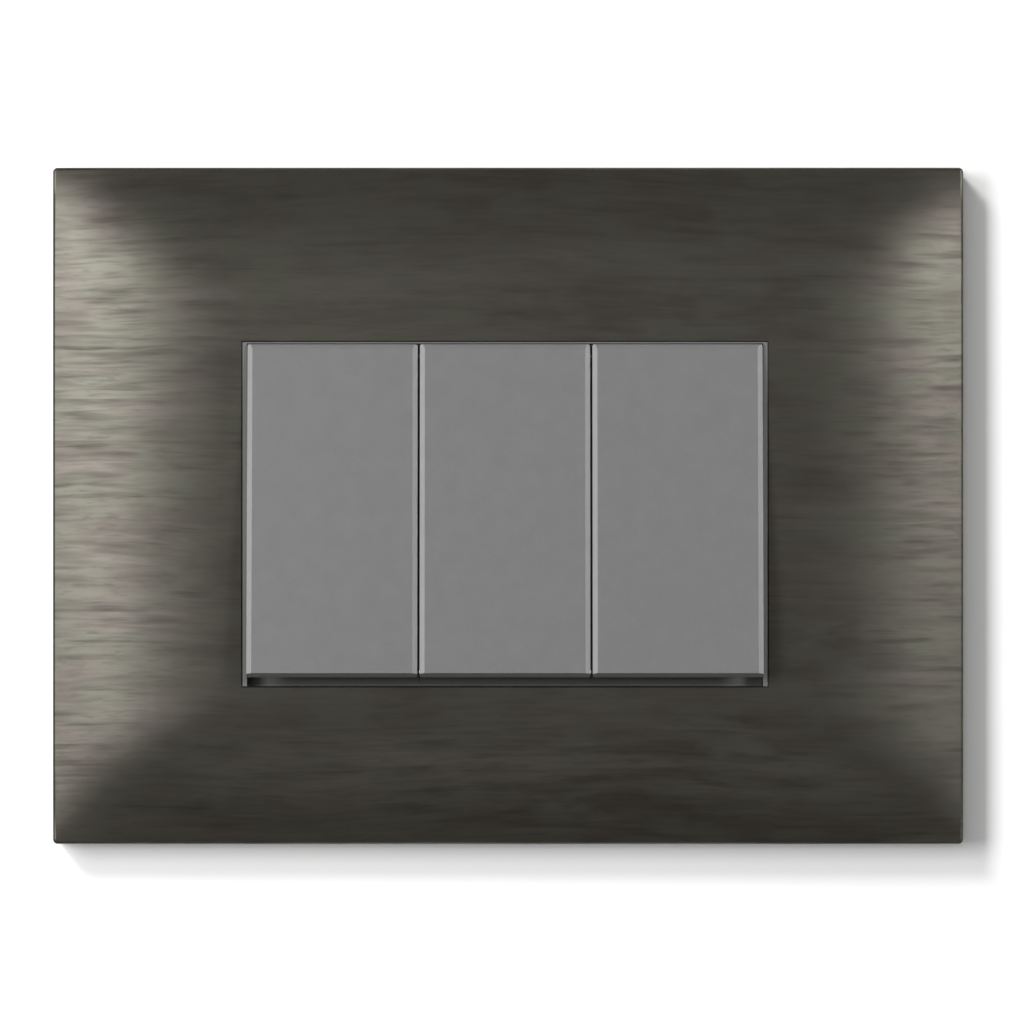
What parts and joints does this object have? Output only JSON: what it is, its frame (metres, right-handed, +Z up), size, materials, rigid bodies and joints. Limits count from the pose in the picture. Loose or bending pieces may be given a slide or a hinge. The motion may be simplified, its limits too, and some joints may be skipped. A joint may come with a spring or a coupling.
{
  "type": "modular wall switch plate",
  "caption": "Rectangular cushion-shaped wall plate with wood-like finish around flush grey rocker switches, on a screwed support frame.",
  "frame": {"origin": "on the wall plane, midway between the two fixing screws and behind the middle of the switches", "axes": "+X to the right seen from the room, +Y into the wall along the fixing screws, +Z up"},
  "size_m": [0.1198, 0.0411, 0.089],
  "materials": {
    "cover_plate": "satin metallic lacquer with a dark horizontal wood grain",
    "keys": "satin metallic grey paint",
    "window_trim": "satin metallic grey paint",
    "bezels": "satin dark grey",
    "support_frame": "matt dark grey, glass-filled",
    "fixing_screws": "zinc plated",
    "levers": "matt off-white",
    "plungers": "smooth white",
    "springs": "drawn steel wire",
    "contact_strips": "rolled brass",
    "contact_tips": "dull silver",
    "housings": "matt dark grey",
    "terminal_screws": "zinc plated",
    "clamp_washers": "zinc plated"
  },
  "bodies": {
    "base": {"support_frame": "support_frame", "fixing_screws": "fixing_screws", "left_bezel": "bezels", "left_housing": "housings", "left_common_terminal": "contact_strips", "left_switched_terminal": "contact_strips", "left_fixed_tip": "contact_tips", "left_terminal_screws": "terminal_screws", "left_clamp_washers": "clamp_washers", "middle_bezel": "bezels", "middle_housing": "housings", "middle_common_terminal": "contact_strips", "middle_switched_terminal": "contact_strips", "middle_fixed_tip": "contact_tips", "middle_terminal_screws": "terminal_screws", "middle_clamp_washers": "clamp_washers", "right_bezel": "bezels", "right_housing": "housings", "right_common_terminal": "contact_strips", "right_switched_terminal": "contact_strips", "right_fixed_tip": "contact_tips", "right_terminal_screws": "terminal_screws", "right_clamp_washers": "clamp_washers"},
    "cover": {"cover_plate": "cover_plate", "window_trim": "window_trim"},
    "left_rocker": {"left_rocker_key": "keys", "left_rocker_lever": "levers", "left_plunger_spring": "springs"},
    "left_plunger": {"left_plunger": "plungers"},
    "left_contact": {"left_moving_contact": "contact_strips", "left_moving_tip": "contact_tips"},
    "middle_rocker": {"middle_rocker_key": "keys", "middle_rocker_lever": "levers", "middle_plunger_spring": "springs"},
    "middle_plunger": {"middle_plunger": "plungers"},
    "middle_contact": {"middle_moving_contact": "contact_strips", "middle_moving_tip": "contact_tips"},
    "right_rocker": {"right_rocker_key": "keys", "right_rocker_lever": "levers", "right_plunger_spring": "springs"},
    "right_plunger": {"right_plunger": "plungers"},
    "right_contact": {"right_moving_contact": "contact_strips", "right_moving_tip": "contact_tips"}
  },
  "joints": [
    {"name": "cover_pull", "type": "slide", "parent": "base", "child": "cover", "axis": [0, -1, 0], "range_m": [0, 0.025]},
    {"name": "left_rock", "type": "hinge", "parent": "base", "child": "left_rocker", "pos_m": [-0.0225, -0.004, 0], "axis": [1, 0, 0], "range_deg": [0, 8]},
    {"name": "left_contact_tilt", "type": "hinge", "parent": "base", "child": "left_contact", "pos_m": [-0.0225, 0.0125, 0], "axis": [1, 0, 0], "range_deg": [-12, 0]},
    {"name": "left_plunger_slide", "type": "slide", "parent": "left_rocker", "child": "left_plunger", "axis": [0, -0.9976, 0.0698], "range_m": [0, 0.0008], "stiffness_N_per_m": 1600, "springref_m": -0.0005, "deforming": ["left_plunger_spring"]},
    {"name": "middle_rock", "type": "hinge", "parent": "base", "child": "middle_rocker", "pos_m": [0, -0.004, 0], "axis": [1, 0, 0], "range_deg": [0, 8]},
    {"name": "middle_contact_tilt", "type": "hinge", "parent": "base", "child": "middle_contact", "pos_m": [0, 0.0125, 0], "axis": [1, 0, 0], "range_deg": [-12, 0]},
    {"name": "middle_plunger_slide", "type": "slide", "parent": "middle_rocker", "child": "middle_plunger", "axis": [0, -0.9976, 0.0698], "range_m": [0, 0.0008], "stiffness_N_per_m": 1600, "springref_m": -0.0005, "deforming": ["middle_plunger_spring"]},
    {"name": "right_rock", "type": "hinge", "parent": "base", "child": "right_rocker", "pos_m": [0.0225, -0.004, 0], "axis": [1, 0, 0], "range_deg": [0, 8]},
    {"name": "right_contact_tilt", "type": "hinge", "parent": "base", "child": "right_contact", "pos_m": [0.0225, 0.0125, 0], "axis": [1, 0, 0], "range_deg": [-12, 0]},
    {"name": "right_plunger_slide", "type": "slide", "parent": "right_rocker", "child": "right_plunger", "axis": [0, -0.9976, 0.0698], "range_m": [0, 0.0008], "stiffness_N_per_m": 1600, "springref_m": -0.0005, "deforming": ["right_plunger_spring"]}
  ],
  "couplings": [
    {"joint": "left_contact_tilt", "follows": "left_rock", "ratio": -1.5},
    {"joint": "middle_contact_tilt", "follows": "middle_rock", "ratio": -1.5},
    {"joint": "right_contact_tilt", "follows": "right_rock", "ratio": -1.5}
  ]
}
